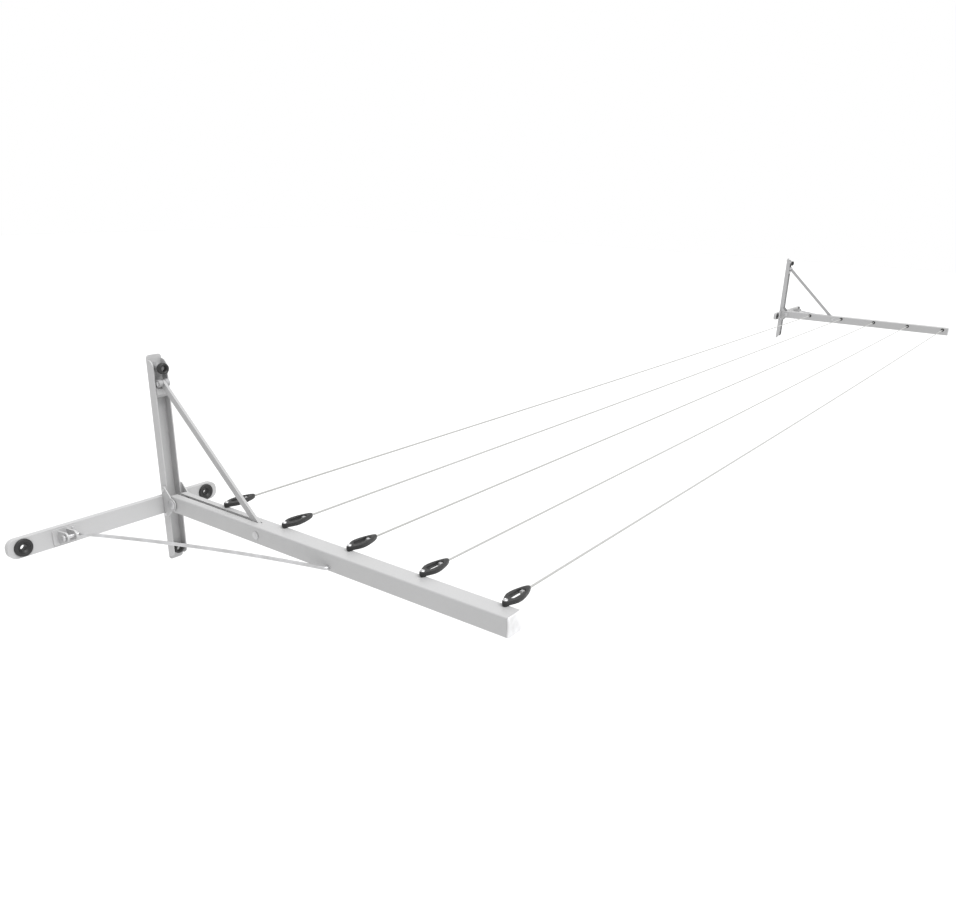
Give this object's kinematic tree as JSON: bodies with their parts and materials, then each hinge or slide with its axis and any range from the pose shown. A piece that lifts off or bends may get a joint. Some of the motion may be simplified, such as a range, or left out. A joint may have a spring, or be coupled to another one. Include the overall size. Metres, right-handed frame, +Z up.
{
  "type": "retractable clothesline",
  "caption": "Wall-mounted fold-down clothesline: two hinged bracket arms held level by struts and tension rods, carrying parallel taut drying lines with teardrop tensioners.",
  "frame": {"origin": "on the wall plane, on the near post's centre line, at hinge level", "axes": "+X out of the wall, +Y along the wall from the near bracket to the far one, +Z up"},
  "size_m": [0.779, 4.14, 0.388],
  "materials": {
    "silver_paint": "light grey silver satin paint",
    "strut_steel": "mid grey satin paint",
    "zinc_steel": "dull zinc plate",
    "black_plastic": "near-black moulded plastic",
    "grey_plastic": "mid grey moulded plastic",
    "pale_plastic": "pale moulded plastic",
    "line_cord": "off-white braided line"
  },
  "bodies": {
    "wall_frame": {"near_post": "silver_paint", "near_rail_outer": "silver_paint", "near_rail_inner": "silver_paint", "near_bushes": "black_plastic", "near_post_spacers": "zinc_steel", "near_hinge_plates": "silver_paint", "near_hinge_pins": "zinc_steel", "near_plate_rivets": "zinc_steel", "near_catch_block": "silver_paint", "near_rod_saddle": "silver_paint", "near_saddle_rivets": "zinc_steel", "far_post": "silver_paint", "far_rail_outer": "silver_paint", "far_rail_inner": "silver_paint", "far_bushes": "black_plastic", "far_post_spacers": "zinc_steel", "far_hinge_plates": "silver_paint", "far_hinge_pins": "zinc_steel", "far_plate_rivets": "zinc_steel", "far_catch_block": "silver_paint", "far_rod_saddle": "silver_paint", "far_saddle_rivets": "zinc_steel"},
    "near_arm": {"near_arm": "silver_paint", "near_arm_tip_cap": "pale_plastic", "near_arm_bushes": "black_plastic", "near_tension_rod": "zinc_steel", "near_rod_clips": "zinc_steel", "near_strut_pin": "zinc_steel", "near_strut_spacers": "black_plastic", "tensioner_1": "black_plastic", "tensioner_2": "black_plastic", "tensioner_3": "black_plastic", "tensioner_4": "black_plastic", "tensioner_5": "black_plastic", "tensioner_pegs": "zinc_steel", "line_1": "line_cord", "line_2": "line_cord", "line_3": "line_cord", "line_4": "line_cord", "line_5": "line_cord", "line_ferrules": "zinc_steel"},
    "far_arm": {"far_arm": "silver_paint", "far_arm_tip_cap": "pale_plastic", "far_arm_bushes": "black_plastic", "far_tension_rod": "zinc_steel", "far_rod_clips": "zinc_steel", "far_strut_pin": "zinc_steel", "far_strut_spacers": "black_plastic", "far_line_anchors": "black_plastic"},
    "near_strut": {"near_strut": "strut_steel", "near_roller_axle": "zinc_steel"},
    "far_strut": {"far_strut": "strut_steel", "far_roller_axle": "zinc_steel"},
    "near_rollers": {"near_rollers": "grey_plastic"},
    "far_rollers": {"far_rollers": "grey_plastic"}
  },
  "joints": [
    {"name": "near_arm_fold", "type": "hinge", "parent": "wall_frame", "child": "near_arm", "pos_m": [0.034, 0, 0], "axis": [0, 1, 0], "range_deg": [0, 90]},
    {"name": "far_arm_fold", "type": "hinge", "parent": "wall_frame", "child": "far_arm", "pos_m": [0.034, 3.54, 0], "axis": [0, 1, 0], "range_deg": [0, 90]},
    {"name": "near_strut_swing", "type": "hinge", "parent": "near_arm", "child": "near_strut", "pos_m": [0.262, 0, 0], "axis": [0, 1, 0], "range_deg": [-45, 0]},
    {"name": "far_strut_swing", "type": "hinge", "parent": "far_arm", "child": "far_strut", "pos_m": [0.262, 3.54, 0], "axis": [0, 1, 0], "range_deg": [-45, 0]},
    {"name": "near_roller_spin", "type": "hinge", "parent": "near_strut", "child": "near_rollers", "pos_m": [0.02, 0, 0.22], "axis": [0, 1, 0], "continuous": true},
    {"name": "far_roller_spin", "type": "hinge", "parent": "far_strut", "child": "far_rollers", "pos_m": [0.02, 3.54, 0.22], "axis": [0, 1, 0], "continuous": true}
  ],
  "couplings": [
    {"joint": "far_arm_fold", "follows": "near_arm_fold", "ratio": 1},
    {"joint": "near_strut_swing", "follows": "near_arm_fold", "ratio": -0.5},
    {"joint": "far_strut_swing", "follows": "near_arm_fold", "ratio": -0.5}
  ]
}
